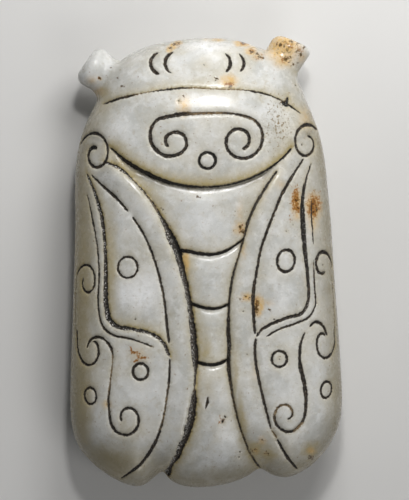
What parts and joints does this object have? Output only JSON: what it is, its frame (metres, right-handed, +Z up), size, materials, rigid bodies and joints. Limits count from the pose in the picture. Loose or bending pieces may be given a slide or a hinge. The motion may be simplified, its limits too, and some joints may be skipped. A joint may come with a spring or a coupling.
{
  "type": "carved jade cicada",
  "caption": "Carved pale nephrite cicada with folded wings, ringed abdomen, scroll-cut collar and two stub eyes, lying on its flat underside.",
  "frame": {"origin": "centre of the underside, on the surface that the cicada lies on", "axes": "+Y towards the head, +Z up out of the carved face, +X across the wings"},
  "size_m": [0.0496, 0.0824, 0.0195],
  "materials": {
    "jade": "waxy polish, cloudy grey-white with dark residue in the cuts"
  },
  "bodies": {
    "root": {"jade_cicada": "jade"}
  },
  "joints": []
}
